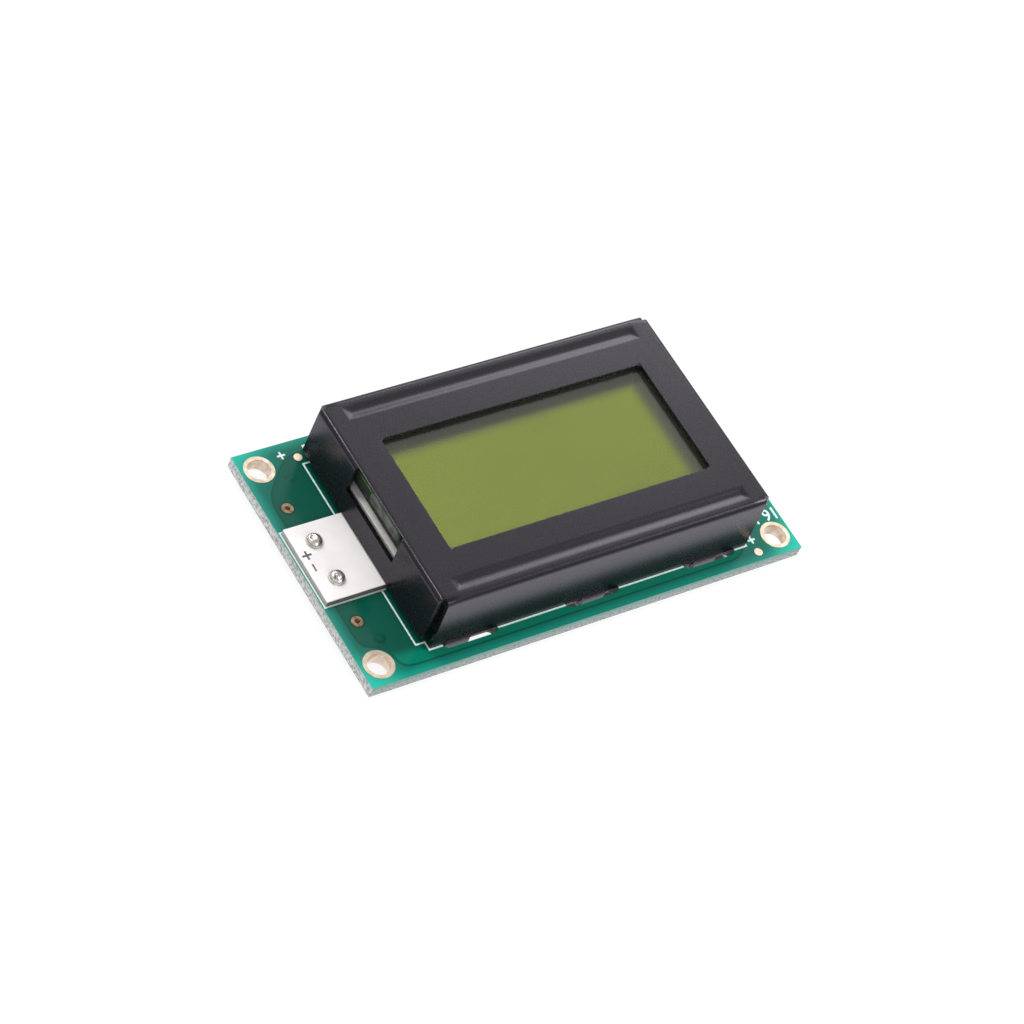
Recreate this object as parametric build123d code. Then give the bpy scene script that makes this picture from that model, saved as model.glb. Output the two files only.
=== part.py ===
from build123d import *
import math
import os

# A character display module: a liquid crystal cell and its backlight, clamped on a
# circuit board by a stamped steel bezel. +X runs along the board's long side, away from
# the backlight's tab, and +Z is the side that is read. The origin is the middle of the
# board's plan, on the plane that the module stands on. All sizes are in millimetres.

# Circuit board
board_length = 58.0
board_width = 32.0
board_thickness = 1.6
foil = 0.05
lining_wall = 0.1

# Mounting holes
mount_bore = 2.7
mount_ring = 3.6
mount_inset_x = 2.2
mount_inset_y = 2.5

# Two rows of plated holes for a pin header
header_pitch = 2.54
header_per_row = 8
header_bore = 1.0
header_ring = 1.8
header_edge_inset = 1.36

# Vias and fiducial dots
via_bore = 0.6
via_ring = 1.35
via_inset = 2.7
via_tab_gap = 2.85
fiducial_diameter = 1.0
fiducial_left_step = 0.1
fiducial_back_step = 1.0
fiducial_right_step = 0.2
fiducial_front_step = 1.2

# Stamped steel bezel, by the margins of board that it leaves bare
margin_left = 7.8
margin_right = 5.8
margin_front = 2.6
margin_back = 1.4
sheet = 0.5
bend_radius = 0.65
corner_notch_x = 0.85
corner_notch_y = 0.75
corner_notch_radius = 0.3
wall_flare = 0.2
end_wall_gap = 1.0
window_corner = 0.6
window_lip_depth = 0.7
side_opening_width = 10.15
side_opening_sill = 4.0
side_opening_reach = 0.35
rib_end_inset = 2.8
rib_width = 1.3
rib_side_inset = 2.05
rib_slope = 45.0
rib_glass_clearance = 0.1

# Bezel tabs, and the board slots that they pass through
tab_width = 3.0
tab_foot = 1.9
tab_crease_radius = 0.4
tab_end_clearance = 0.05
middle_tab_shift = 0.5
right_tab_shift = -0.2
slot_end_inset = 6.0
slot_length = 7.0
slot_front_gap = 0.62
slot_back_gap = 0.1

# Liquid crystal cell
polariser = 0.2
polariser_inset_x = 1.8
polariser_inset_y = 1.28
polariser_cover = 1.5
front_glass_thickness = 1.1
rear_glass_thickness = 1.1
cell_gap = 0.1
cell_seal_width = 1.2
glass_side_clearance = 0.3
contact_ledge = 2.8
frame_ledge = 0.75
fill_seal_length = 6.4
fill_seal_height = 1.5
fill_seal_depth = 0.45
fill_seal_round = 0.3
fill_seal_shift = -0.6

# Rubber contact strips, and the gilt fingers under them
strip_width = 2.0
strip_inset = 0.3
strip_end_inset = 1.0
finger_pitch = 1.1
finger_width = 0.6
finger_length = 2.4

# Backlight
light_board_thickness = 0.8
light_tab_width = 10.0
light_tab_inset = 0.35
light_frame_height = 3.25
light_frame_end_clearance = 0.15
light_frame_wall = 1.5
light_frame_shelf = 0.5
diffuser_thickness = 1.2
diffuser_rise = 0.5
diffuser_clearance = 0.1
gasket_clearance = 0.1
led_columns = 7
led_rows = 2
led_length = 1.6
led_width = 0.8
led_height = 0.7

# Backlight pins and their solder
pin_pitch = 5.08
pin_diameter = 0.8
pin_inset = 2.55
pin_head = 0.35
pin_hole_clearance = 0.1
solder_diameter = 2.0
solder_height = 0.75
fillet_diameter = 1.9
fillet_height = 0.9
fillet_top_diameter = 1.0

# Parts on the back of the board
stand_height = 1.3
blob_diameter = 14.0
blob_flat_diameter = 7.0
blob_rim = 0.35
blob_flank_lean = 0.3
blob_crown_dip = 0.05
blob_shift_x = 5.0
chip_length = 2.0
chip_width = 1.25
chip_height = 0.5
chip_cap = 0.35
chip_pitch = 2.4
chip_count = 5
chip_row_gap = 6.6
lone_chip_gap_x = 6.0
lone_chip_gap_y = 2.0
capacitor_height = 0.9

# White print on the board
print_thickness = 0.03
print_line = 0.2
print_gap_end = 0.25
print_gap_side = 0.12
print_wall_gap = 0.05
print_notch_front = 1.05
print_notch_back = 2.25
print_slot_margin = 0.1
print_tab_gap = 0.05

# How far a cutting solid runs past what it cuts
overcut = 1.0

# Levels from the standing plane upwards
board_bottom = stand_height
board_top = board_bottom + board_thickness
light_board_top = board_top + light_board_thickness
light_frame_top = light_board_top + light_frame_height
diffuser_top = light_frame_top + diffuser_rise
rear_glass_bottom = diffuser_top + polariser
rear_glass_top = rear_glass_bottom + rear_glass_thickness
front_glass_bottom = rear_glass_top + cell_gap
front_glass_top = front_glass_bottom + front_glass_thickness
polariser_top = front_glass_top + polariser
bezel_top = polariser_top + window_lip_depth
plate_underside = bezel_top - sheet

# Edges in plan
board_left = -board_length / 2
board_right = board_length / 2
bezel_left = board_left + margin_left
bezel_right = board_right - margin_right
bezel_front = margin_front - board_width / 2
bezel_back = board_width / 2 - margin_back
bezel_length = bezel_right - bezel_left
bezel_width = bezel_back - bezel_front
bezel_shift_x = (bezel_left + bezel_right) / 2
bezel_shift_y = (bezel_front + bezel_back) / 2
light_frame_length = bezel_length - 2 * sheet - 2 * light_frame_end_clearance
glass_length = light_frame_length - 2 * frame_ledge
front_glass_width = bezel_width - 2 * sheet - 2 * glass_side_clearance
rear_glass_width = front_glass_width - 2 * contact_ledge
polariser_length = glass_length - 2 * polariser_inset_x
polariser_width = rear_glass_width - 2 * polariser_inset_y
window_length = polariser_length - 2 * polariser_cover
window_width = polariser_width - 2 * polariser_cover
rib_length = bezel_length - 2 * rib_end_inset
rib_depth = plate_underside - front_glass_top - rib_glass_clearance
rib_spread = sheet * math.tan(math.radians(rib_slope / 2))
strip_reach = front_glass_width / 2 - strip_inset - strip_width / 2
strip_length = glass_length - 2 * strip_end_inset
print_notch_x = wall_flare + print_gap_end + corner_notch_x - print_wall_gap - print_line / 2
slot_width = slot_front_gap + sheet + slot_back_gap
slot_reach = bezel_width / 2 + wall_flare + slot_front_gap - slot_width / 2
slot_pitch = bezel_length / 2 - slot_end_inset
slot_centres = [bezel_shift_x + step * slot_pitch for step in (-1, 0, 1)]
left_tab_shift = tab_end_clearance - (slot_length - slot_width - tab_width) / 2
tab_shifts = (left_tab_shift, middle_tab_shift, right_tab_shift)
light_tab_left = board_left + light_tab_inset
pin_x = light_tab_left + pin_inset
diffuser_trim = 2 * (light_frame_wall - light_frame_shelf + diffuser_clearance)
diffuser_length = light_frame_length - diffuser_trim
diffuser_width = rear_glass_width - diffuser_trim
led_pitch_x = (light_frame_length - 2 * light_frame_wall) / led_columns
led_pitch_y = (rear_glass_width - 2 * light_frame_wall) / led_rows
header_outer = board_right - header_edge_inset
header_inner = header_outer - header_pitch
chip_row_x = header_inner - chip_row_gap
lone_chip_x = blob_shift_x - blob_diameter / 2 - lone_chip_gap_x
lone_chip_y = blob_diameter / 2 + lone_chip_gap_y
print_left = bezel_left - wall_flare - print_gap_end
print_right = bezel_right + wall_flare + print_gap_end
print_front = bezel_front - wall_flare - print_gap_side
print_back = bezel_back + wall_flare + print_gap_side
print_front_notch = print_front + print_notch_front
print_back_notch = print_back - print_notch_back


def block(x_low, x_high, y_low, y_high, z_low, z_high):
    """A plain block between two corners."""
    middle = Pos((x_low + x_high) / 2, (y_low + y_high) / 2, (z_low + z_high) / 2)
    return middle * Box(x_high - x_low, y_high - y_low, z_high - z_low)


def plate(length, width, z_low, z_high):
    """A rectangular layer of the display stack, centred under the bezel's window."""
    half_x = length / 2
    half_y = width / 2
    x = bezel_shift_x
    y = bezel_shift_y
    return block(x - half_x, x + half_x, y - half_y, y + half_y, z_low, z_high)


def disc(x, y, diameter, z_low, z_high):
    """An upright cylinder between two levels."""
    return Pos(x, y, (z_low + z_high) / 2) * Cylinder(diameter / 2, z_high - z_low)


def lining(x, y, bore, ring):
    """A plated hole: a barrel through the board with a ring of foil on each face."""
    body = disc(x, y, bore + 2 * lining_wall, board_bottom, board_top)
    body += disc(x, y, ring, board_top, board_top + foil)
    body += disc(x, y, ring, board_bottom - foil, board_bottom)
    return body - disc(x, y, bore, board_bottom - overcut, board_top + overcut)


def mount_places():
    """The four mounting holes, by the corner that each is in."""
    x = board_length / 2 - mount_inset_x
    y = board_width / 2 - mount_inset_y
    return {
        "front_left": (-x, -y),
        "front_right": (x, -y),
        "back_left": (-x, y),
        "back_right": (x, y),
    }


def header_places():
    """The two columns of header holes beside the board's right edge."""
    first = -header_pitch * (header_per_row - 1) / 2
    columns = (header_inner, header_outer)
    return [(x, first + row * header_pitch) for x in columns for row in range(header_per_row)]


def via_places():
    """One via each side of the backlight's tab."""
    x = board_left + via_inset
    y = light_tab_width / 2 + via_tab_gap
    return [(x, -y), (x, y)]


def pin_places():
    """The backlight's two pins, with the anode at the back."""
    return {"anode": (pin_x, pin_pitch / 2), "cathode": (pin_x, -pin_pitch / 2)}


def slot_places():
    """Centres of the board slots, with -1 for the front row and 1 for the back row."""
    return [(x, side) for side in (-1, 1) for x in slot_centres]


def main_board():
    """The laminate, drilled for its linings and pins and milled for the bezel's tabs."""
    body = Box(board_length, board_width, board_thickness)
    body = Pos(0, 0, board_bottom + board_thickness / 2) * body
    z_low = board_bottom - overcut
    z_high = board_top + overcut
    for x, y in mount_places().values():
        body -= disc(x, y, mount_bore + 2 * lining_wall, z_low, z_high)
    for x, y in header_places():
        body -= disc(x, y, header_bore + 2 * lining_wall, z_low, z_high)
    for x, y in via_places():
        body -= disc(x, y, via_bore + 2 * lining_wall, z_low, z_high)
    for x, y in pin_places().values():
        body -= disc(x, y, pin_diameter + 2 * pin_hole_clearance, z_low, z_high)
    for x, side in slot_places():
        outline = SlotOverall(slot_length, slot_width)
        cutter = extrude(outline, amount=z_high - z_low)
        body -= Pos(x, bezel_shift_y + side * slot_reach, z_low) * cutter
    return body


def fiducials():
    """Bare copper dots that a placing machine looks for."""
    back = (print_left - fiducial_left_step, print_back_notch + fiducial_back_step)
    front = (print_right - fiducial_right_step, print_front - fiducial_front_step)
    return [disc(x, y, fiducial_diameter, board_top, board_top + foil) for x, y in (back, front)]


def contact_fingers(side):
    """A row of gilt pads under one rubber strip."""
    count = math.floor((strip_length - finger_width) / finger_pitch) + 1
    first = bezel_shift_x - finger_pitch * (count - 1) / 2
    y = bezel_shift_y + side * strip_reach
    pads = []
    for step in range(count):
        x = first + step * finger_pitch
        half_x = finger_width / 2
        half_y = finger_length / 2
        pads.append(block(x - half_x, x + half_x, y - half_y, y + half_y, board_top, board_top + foil))
    return pads


def contact_strip(side):
    """A strip of striped rubber that joins the fingers to the front glass's ledge."""
    y = bezel_shift_y + side * strip_reach
    half_x = strip_length / 2
    half_y = strip_width / 2
    x = bezel_shift_x
    z_low = board_top + foil
    return block(x - half_x, x + half_x, y - half_y, y + half_y, z_low, front_glass_bottom)


def print_stroke(start, end):
    """One straight printed line along X or Y, with its ends squared past the points."""
    half = print_line / 2
    x_low = min(start[0], end[0]) - half
    x_high = max(start[0], end[0]) + half
    y_low = min(start[1], end[1]) - half
    y_high = max(start[1], end[1]) + half
    return block(x_low, x_high, y_low, y_high, board_top, board_top + print_thickness)


def long_side_strokes(y):
    """The printed line along the front or back of the bezel, broken at each slot."""
    strokes = []
    start = print_left + print_notch_x
    reach = slot_length / 2 + print_slot_margin + print_line / 2
    for centre in slot_centres:
        if centre - reach > start:
            strokes.append(print_stroke((start, y), (centre - reach, y)))
        start = centre + reach
    end = print_right - print_notch_x
    if end > start:
        strokes.append(print_stroke((start, y), (end, y)))
    return strokes


def board_print():
    """The printed outline of the bezel, notched at its corners, and of the backlight's tab."""
    tab_side = light_tab_width / 2 + print_tab_gap + print_line / 2
    tab_left = light_tab_left - print_tab_gap - print_line / 2
    strokes = long_side_strokes(print_front) + long_side_strokes(print_back)
    strokes.append(print_stroke((print_left, print_front_notch), (print_left, -tab_side)))
    strokes.append(print_stroke((print_left, tab_side), (print_left, print_back_notch)))
    strokes.append(print_stroke((print_right, print_front_notch), (print_right, print_back_notch)))
    for edge, inward in ((print_left, 1), (print_right, -1)):
        inner = edge + inward * print_notch_x
        for notch, side in ((print_front_notch, print_front), (print_back_notch, print_back)):
            strokes.append(print_stroke((edge, notch), (inner, notch)))
            strokes.append(print_stroke((inner, notch), (inner, side)))
    strokes.append(print_stroke((tab_left, -tab_side), (tab_left, tab_side)))
    strokes.append(print_stroke((tab_left, -tab_side), (bezel_left, -tab_side)))
    strokes.append(print_stroke((tab_left, tab_side), (bezel_left, tab_side)))
    joined = strokes[0]
    for stroke in strokes[1:]:
        joined += stroke
    return joined.solids()


def bezel_tab(x, side):
    """A tab of the long wall, through its slot and folded flat under the board."""
    outer = bezel_width / 2 + wall_flare
    inner = outer - sheet
    tip = outer - tab_foot
    low = board_bottom - sheet
    wall_end = [(inner, board_top), (outer, board_top), (outer, low)]
    folded_end = [(tip, low), (tip, board_bottom), (inner, board_bottom)]
    outline = make_face(Plane.YZ * Polyline(*wall_end, *folded_end, close=True))
    body = extrude(outline, amount=tab_width / 2, both=True)
    crease = body.edges().filter_by(Axis.X).sort_by(Axis.Z)[0:2].sort_by(Axis.Y)[-1]
    body = fillet(crease, radius=tab_crease_radius)
    if side < 0:
        body = mirror(body, about=Plane.XZ)
    return Pos(x, bezel_shift_y, 0) * body


def rib_form(spread, z_high):
    """The sloped form of one pressed rib, spread by a margin, hanging from a level."""
    outline = Rectangle(rib_length + 2 * spread, rib_width + 2 * spread)
    upside_down = extrude(outline, amount=rib_depth, taper=rib_slope)
    return Pos(0, 0, z_high) * mirror(upside_down, about=Plane.XY)


def flared_block(inset, height):
    """A block on the board, as wide as the bezel less an inset, spread at its foot."""
    outline = Rectangle(bezel_length + 2 * (wall_flare - inset), bezel_width + 2 * (wall_flare - inset))
    lean = math.degrees(math.atan(wall_flare / (bezel_top - board_top)))
    return Pos(0, 0, board_top) * extrude(outline, amount=height, taper=lean)


def bezel():
    """The stamped cover: a plate with four folded walls, a lipped window and six tabs."""
    height = bezel_top - board_top
    outer = flared_block(0, height)
    outer = fillet(outer.faces().sort_by(Axis.Z)[-1].edges(), radius=bend_radius)
    inner = flared_block(sheet, plate_underside - board_top)
    inner = fillet(inner.faces().sort_by(Axis.Z)[-1].edges(), radius=bend_radius - sheet)
    body = outer - inner

    lip_length = window_length + 2 * sheet
    lip_width = window_width + 2 * sheet
    lip_outline = RectangleRounded(lip_length, lip_width, window_corner + sheet)
    lip = extrude(lip_outline, amount=window_lip_depth - sheet / 2)
    body += Pos(0, 0, polariser_top) * lip
    hole_outline = RectangleRounded(window_length, window_width, window_corner)
    hole = extrude(hole_outline, amount=window_lip_depth + 2 * overcut)
    body -= Pos(0, 0, polariser_top - overcut) * hole

    for side in (-1, 1):
        y = side * (bezel_width / 2 - rib_side_inset)
        body += Pos(0, y, 0) * rib_form(rib_spread, plate_underside)
        body -= Pos(0, y, 0) * rib_form(0, bezel_top)

    notch = RectangleRounded(2 * corner_notch_x, 2 * corner_notch_y, corner_notch_radius)
    notch = extrude(notch, amount=height + 2 * overcut)
    for x in (-bezel_length / 2, bezel_length / 2):
        for y in (-bezel_width / 2, bezel_width / 2):
            body -= Pos(x, y, board_top - overcut) * notch

    wall_span = bezel_width / 2 - corner_notch_y
    end_low = board_top - overcut
    end_high = board_top + end_wall_gap
    for side in (-1, 1):
        x = side * (bezel_length / 2 + wall_flare)
        body -= block(x - 2 * sheet, x + 2 * sheet, -wall_span, wall_span, end_low, end_high)

    left = -bezel_length / 2
    half_opening = side_opening_width / 2
    sill = board_top + side_opening_sill
    reach = left + side_opening_reach
    outside = left - wall_flare - overcut
    body -= block(outside, reach, -half_opening, half_opening, sill, bezel_top + overcut)
    body -= block(outside, left + 2 * sheet, -half_opening, half_opening, sill, plate_underside)

    body = Pos(bezel_shift_x, bezel_shift_y, 0) * body
    for side in (-1, 1):
        for centre, shift in zip(slot_centres, tab_shifts):
            body += bezel_tab(centre + shift, side)
    return body


def cell_seal():
    """The glue line between the two glasses."""
    outer = plate(glass_length, rear_glass_width, rear_glass_top, front_glass_bottom)
    inner_length = glass_length - 2 * cell_seal_width
    inner_width = rear_glass_width - 2 * cell_seal_width
    return outer - plate(inner_length, inner_width, rear_glass_top - overcut, front_glass_bottom + overcut)


def fill_port_seal():
    """The dab of resin that closes the cell's filling port, on its left end."""
    x = bezel_shift_x - glass_length / 2
    z = (rear_glass_top + front_glass_bottom) / 2
    outline = Plane.YZ * SlotOverall(fill_seal_length, fill_seal_height)
    body = extrude(outline, amount=-fill_seal_depth)
    body = fillet(body.faces().sort_by(Axis.X)[0].edges(), radius=fill_seal_round)
    return Pos(x, bezel_shift_y + fill_seal_shift, z) * body


def backlight_board():
    """The white board under the backlight, with the tab that carries its two joints."""
    frame_left = bezel_shift_x - light_frame_length / 2
    body = plate(light_frame_length, rear_glass_width, board_top, light_board_top)
    half = light_tab_width / 2
    body += block(light_tab_left, frame_left + sheet, -half, half, board_top, light_board_top)
    pin_bore = pin_diameter + 2 * pin_hole_clearance
    for x, y in pin_places().values():
        body -= disc(x, y, pin_bore, board_top - overcut, light_board_top + overcut)
    return body


def backlight_frame():
    """The white reflector frame, with a shelf near its top for the diffuser."""
    body = plate(light_frame_length, rear_glass_width, light_board_top, light_frame_top)
    well = 2 * light_frame_wall
    seat = 2 * (light_frame_wall - light_frame_shelf)
    seat_level = diffuser_top - diffuser_thickness
    above = light_frame_top + overcut
    body -= plate(light_frame_length - well, rear_glass_width - well, light_board_top - overcut, above)
    body -= plate(light_frame_length - seat, rear_glass_width - seat, seat_level, above)
    return body


def backlight_diffuser():
    """The milky plate that evens out the light, standing a little proud of the frame."""
    return plate(diffuser_length, diffuser_width, diffuser_top - diffuser_thickness, diffuser_top)


def glass_gasket():
    """The dark frame of foam that seals the cell to the backlight, round the diffuser."""
    outer = plate(glass_length, rear_glass_width, light_frame_top, rear_glass_bottom)
    length = diffuser_length + 2 * gasket_clearance
    width = diffuser_width + 2 * gasket_clearance
    return outer - plate(length, width, light_frame_top - overcut, rear_glass_bottom + overcut)


def backlight_leds():
    """The rows of light-emitting chips on the backlight's board."""
    chips = []
    for column in range(led_columns):
        for row in range(led_rows):
            x = bezel_shift_x + (column - (led_columns - 1) / 2) * led_pitch_x
            y = bezel_shift_y + (row - (led_rows - 1) / 2) * led_pitch_y
            half_x = led_length / 2
            half_y = led_width / 2
            top = light_board_top + led_height
            chips.append(block(x - half_x, x + half_x, y - half_y, y + half_y, light_board_top, top))
    return chips


def backlight_pin(x, y):
    """A wire that joins the tab to the board, from inside its joint to the standing plane."""
    return disc(x, y, pin_diameter, 0, light_board_top + pin_head)


def top_joint(x, y):
    """A domed solder joint on the tab, cast round the pin's end."""
    radius = solder_diameter / 2
    ball_radius = (radius**2 + solder_height**2) / (2 * solder_height)
    ball = Pos(x, y, light_board_top + solder_height - ball_radius) * Sphere(ball_radius)
    body = ball & disc(x, y, 2 * solder_diameter, light_board_top, light_board_top + 2 * solder_height)
    return body - disc(x, y, pin_diameter, light_board_top - overcut, light_board_top + pin_head)


def bottom_joint(x, y):
    """A cone of solder round the pin under the board."""
    cone = Cone(fillet_top_diameter / 2, fillet_diameter / 2, fillet_height)
    body = Pos(x, y, board_bottom - fillet_height / 2) * cone
    return body - disc(x, y, pin_diameter, -overcut, board_bottom + overcut)


def controller_blob():
    """The black resin dome over the controller die, flat where the module stands on it."""
    rim = board_bottom - blob_rim
    start = (blob_diameter / 2, board_bottom)
    shoulder = (blob_diameter / 2, rim)
    flat = (blob_flat_diameter / 2, 0)
    crown = Spline(shoulder, flat, tangents=((-blob_flank_lean, -1), (-1, -blob_crown_dip)))
    closing = Polyline(flat, (0, 0), (0, board_bottom), start, shoulder)
    outline = make_face(Plane.XZ * Curve([crown, closing]))
    return Pos(blob_shift_x, 0, 0) * revolve(outline, axis=Axis.Z)


def chip_places():
    """The back's chip resistors: a row beside the header, and one alone."""
    first = -chip_pitch * (chip_count - 1) / 2
    row = [(chip_row_x, first + step * chip_pitch) for step in range(chip_count)]
    return row + [(lone_chip_x, -lone_chip_y)]


def chip_body(x, y, height):
    """The ceramic middle of a chip, between its end caps."""
    half_x = chip_length / 2 - chip_cap
    half_y = chip_width / 2
    return block(x - half_x, x + half_x, y - half_y, y + half_y, board_bottom - height, board_bottom)


def chip_caps(x, y, height):
    """The two tinned ends of a chip."""
    half_y = chip_width / 2
    caps = []
    for side in (-1, 1):
        edge = x + side * chip_length / 2
        inner = edge - side * chip_cap
        x_low = min(edge, inner)
        x_high = max(edge, inner)
        caps.append(block(x_low, x_high, y - half_y, y + half_y, board_bottom - height, board_bottom))
    return caps


def save(name, shape):
    """Write one sub-part, which may be a list of separate solids."""
    if isinstance(shape, list):
        shape = Compound(children=shape)
    export_step(shape, os.path.join("parts", name + ".step"))


def main():
    os.makedirs("parts", exist_ok=True)
    save("main_board", main_board())
    for corner, (x, y) in mount_places().items():
        save("hole_lining_" + corner, lining(x, y, mount_bore, mount_ring))
    save("header_linings", [lining(x, y, header_bore, header_ring) for x, y in header_places()])
    save("via_linings", [lining(x, y, via_bore, via_ring) for x, y in via_places()])
    save("fiducial_dots", fiducials())
    save("board_print", list(board_print()))
    for name, side in (("front", -1), ("back", 1)):
        save(name + "_contact_fingers", contact_fingers(side))
        save(name + "_contact_strip", contact_strip(side))
    save("bezel", bezel())
    save("front_polariser", plate(polariser_length, polariser_width, front_glass_top, polariser_top))
    save("front_glass", plate(glass_length, front_glass_width, front_glass_bottom, front_glass_top))
    save("cell_seal", cell_seal())
    save("rear_glass", plate(glass_length, rear_glass_width, rear_glass_bottom, rear_glass_top))
    save("rear_polariser", plate(polariser_length, polariser_width, diffuser_top, rear_glass_bottom))
    save("fill_port_seal", fill_port_seal())
    save("backlight_board", backlight_board())
    save("backlight_frame", backlight_frame())
    save("backlight_diffuser", backlight_diffuser())
    save("glass_gasket", glass_gasket())
    save("backlight_leds", backlight_leds())
    for name, (x, y) in pin_places().items():
        save(name + "_pin", backlight_pin(x, y))
        save(name + "_top_joint", top_joint(x, y))
        save(name + "_bottom_joint", bottom_joint(x, y))
    save("controller_blob", controller_blob())
    chips = chip_places()
    save("chip_resistors", [chip_body(x, y, chip_height) for x, y in chips])
    save("resistor_caps", [cap for x, y in chips for cap in chip_caps(x, y, chip_height)])
    save("chip_capacitor", chip_body(lone_chip_x, lone_chip_y, capacitor_height))
    save("capacitor_caps", chip_caps(lone_chip_x, lone_chip_y, capacitor_height))


main()
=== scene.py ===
# %% [markdown]
# # Character display module
#
# The real object is a small liquid crystal display of two short lines. A green circuit
# board carries a glass cell and a backlight, and a black stamped bezel clamps them down.
# The CAD model gives every size. This lesson gives it its looks: the finishes, the soft
# edges, the solder and the printed signs.

import math
import bmesh
import bpy
from mathutils import Matrix, Quaternion, Vector


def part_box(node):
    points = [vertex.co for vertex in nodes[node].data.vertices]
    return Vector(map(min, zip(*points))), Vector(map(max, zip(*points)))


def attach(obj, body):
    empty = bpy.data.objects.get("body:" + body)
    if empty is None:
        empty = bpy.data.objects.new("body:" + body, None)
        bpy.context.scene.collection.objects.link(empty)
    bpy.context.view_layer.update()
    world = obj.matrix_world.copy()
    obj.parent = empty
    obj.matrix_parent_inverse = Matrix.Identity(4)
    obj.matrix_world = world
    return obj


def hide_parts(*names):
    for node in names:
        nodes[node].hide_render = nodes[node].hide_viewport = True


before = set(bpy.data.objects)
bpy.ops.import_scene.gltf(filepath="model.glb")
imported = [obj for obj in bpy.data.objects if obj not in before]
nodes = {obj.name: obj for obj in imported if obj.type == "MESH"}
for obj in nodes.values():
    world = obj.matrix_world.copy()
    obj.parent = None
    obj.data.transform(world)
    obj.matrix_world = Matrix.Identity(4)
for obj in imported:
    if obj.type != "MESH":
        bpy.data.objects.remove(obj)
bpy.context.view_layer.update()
MM = 0.001

# %% [markdown]
# ## The camera
#
# The camera was fitted to the corners of the board and the bezel in the photograph. It is
# a long lens near the object, turned about its own axis, so the board's long side climbs
# to the right. A camera can be turned by hand until it looks right, but a fit to measured
# corners puts each later difference down to the model and not to the view.

# %% Place the camera
CAMERA_PLACE = Vector((-201.744, -159.365, 291.491)) * MM
CAMERA_AIM = Vector((-5.384, -3.495, 8.0)) * MM
CAMERA_ROLL = math.radians(26.24)
CAMERA_LENS = 122.56
CAMERA_SENSOR = 36.0
CLIP_START = 0.01

lens = bpy.data.cameras.new("photo_camera")
lens.sensor_width = CAMERA_SENSOR
lens.lens = CAMERA_LENS
lens.clip_start = CLIP_START
camera = bpy.data.objects.new("photo_camera", lens)
bpy.context.scene.collection.objects.link(camera)
level_turn = (CAMERA_PLACE - CAMERA_AIM).to_track_quat("Z", "Y")
camera.matrix_world = Matrix.LocRotScale(
    CAMERA_PLACE, level_turn @ Quaternion((0, 0, 1), CAMERA_ROLL), None)
bpy.context.scene.camera = camera
bpy.context.scene.view_settings.view_transform = "Standard"
print("camera to aim, mm:", round((CAMERA_PLACE - CAMERA_AIM).length / MM, 1))

# %% [markdown]
# ## Helpers for shader nodes
#
# Light and finishes are both built from small shader nodes. They could be laid out one
# call at a time, but each node then takes three or four lines. These helpers add a node,
# fill or link its inputs, and hand back the output that the next step needs.

# %% Write the helpers that add nodes
def add_node(tree, kind, settings=None, **inputs):
    """Adds one shader node, sets its properties, and fills or links its named inputs."""
    node = tree.nodes.new(kind)
    for name, value in (settings or {}).items():
        setattr(node, name, value)
    for name, value in inputs.items():
        key = int(name[2:]) if name.startswith("in") and name[2:].isdigit() else name.replace("_", " ")
        if isinstance(value, bpy.types.NodeSocket):
            tree.links.new(value, node.inputs[key])
        else:
            node.inputs[key].default_value = value
    return node


def mix_shader(tree, share, first, second):
    """One shader node or the other, by a share from 0 to 1."""
    return add_node(tree, "ShaderNodeMixShader", in0=share, in1=first.outputs[0], in2=second.outputs[0])


def start_empty(name):
    """A new material whose tree is empty."""
    finish = bpy.data.materials.new(name)
    finish.use_nodes = True
    finish.node_tree.nodes.clear()
    return finish


print("helpers ready: add_node, mix_shader, start_empty")

# %% Write the helpers that reckon with numbers and places
def calculate(tree, operation, first, second=0.0):
    """One step of arithmetic on numbers."""
    return add_node(tree, "ShaderNodeMath", {"operation": operation}, in0=first, in1=second).outputs[0]


def calculate_vector(tree, operation, first, second=(0, 0, 0)):
    """One step of arithmetic on vectors. A length, a distance or a dot product is a number."""
    step = add_node(tree, "ShaderNodeVectorMath", {"operation": operation}, in0=first, in1=second)
    return step.outputs["Value" if operation in ("LENGTH", "DISTANCE", "DOT_PRODUCT") else "Vector"]


def split(tree, vector):
    """The X, Y and Z of a vector."""
    parts = add_node(tree, "ShaderNodeSeparateXYZ", Vector=vector)
    return parts.outputs["X"], parts.outputs["Y"], parts.outputs["Z"]


def step_up(tree, value, low, high, first=0.0, last=1.0):
    """A smooth step: first below low, last above high."""
    span = add_node(tree, "ShaderNodeMapRange", {"interpolation_type": "SMOOTHSTEP"}, Value=value,
                    From_Min=low, From_Max=high, To_Min=first, To_Max=last)
    return span.outputs["Result"]


def step_down(tree, value, low, high):
    """A smooth step: 1 below low, 0 above high."""
    return calculate(tree, "SUBTRACT", 1.0, step_up(tree, value, low, high))


print("helpers ready: calculate, calculate_vector, split, step_up, step_down")

# %% [markdown]
# ## The studio's air
#
# The photograph shows the module cut out on white, lit softly from all round. An even
# white world gives that, but satin black paint then mirrors the same grey everywhere. In
# the photograph the folds that face the horizon and those that face straight up are
# darker, so the world is dimmer there, for glossy rays only.

# %% Light the world evenly
WHITE = (1, 1, 1, 1)
WORLD_STRENGTH = 0.6
HORIZON_IN_GLOSS = 0.15
HORIZON_ENDS = 0.55
OVERHEAD_STARTS = 0.80
OVERHEAD_ENDS = 0.95
OVERHEAD_IN_GLOSS = 0.45

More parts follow.
